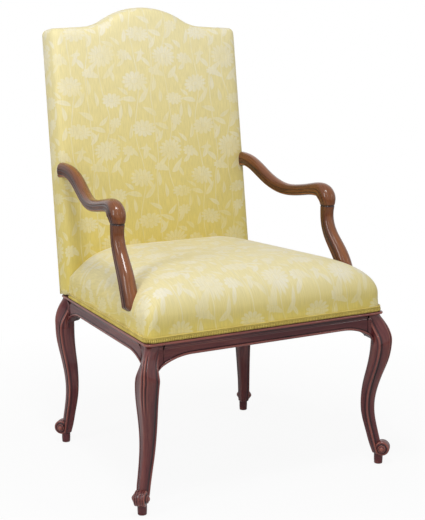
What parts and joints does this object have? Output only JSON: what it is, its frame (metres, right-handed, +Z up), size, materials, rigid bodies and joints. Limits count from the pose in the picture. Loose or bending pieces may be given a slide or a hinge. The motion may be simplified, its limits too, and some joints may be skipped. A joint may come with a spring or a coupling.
{
  "type": "fauteuil armchair",
  "caption": "Upholstered open armchair: camel-topped back, domed seat, serpentine wooden arms, moulded rails and cabriole legs on scroll feet.",
  "frame": {"origin": "on the floor, under the middle of the chair's bounding box", "axes": "+Z up, -Y to the chair's front, +X to the sitter's left"},
  "size_m": [0.697, 0.6664, 1.0861],
  "materials": {
    "show_wood": "carved and moulded hardwood, reddish walnut stain, polished",
    "frame_wood": "plain sawn hardwood, unfinished",
    "screw_steel": "plain steel",
    "jute_webbing": "woven jute",
    "canvas": "plain woven hessian",
    "stuffing": "curled hair and wadding",
    "damask": "pale gold floral damask, satin figure on a matt ground",
    "gimp": "woven gimp braid, gold",
    "dust_cloth": "black woven bottom cloth"
  },
  "bodies": {
    "root": {"arm_dowels": "frame_wood", "arm_left": "show_wood", "arm_right": "show_wood", "arm_support_left": "show_wood", "arm_support_right": "show_wood", "back_canvas": "canvas", "back_lower_rail": "frame_wood", "back_rail": "show_wood", "back_stuffing": "stuffing", "back_webbing": "jute_webbing", "corner_block_screws": "screw_steel", "corner_blocks": "frame_wood", "crest_rail": "frame_wood", "dust_cover": "dust_cloth", "front_leg_left": "show_wood", "front_leg_right": "show_wood", "front_rail": "show_wood", "inside_back_cover": "damask", "outside_back_cover": "damask", "rear_post_left": "show_wood", "rear_post_right": "show_wood", "seat_canvas": "canvas", "seat_cover": "damask", "seat_gimp": "gimp", "seat_stuffing": "stuffing", "seat_webbing": "jute_webbing", "side_rail_left": "show_wood", "side_rail_right": "show_wood"}
  },
  "joints": []
}
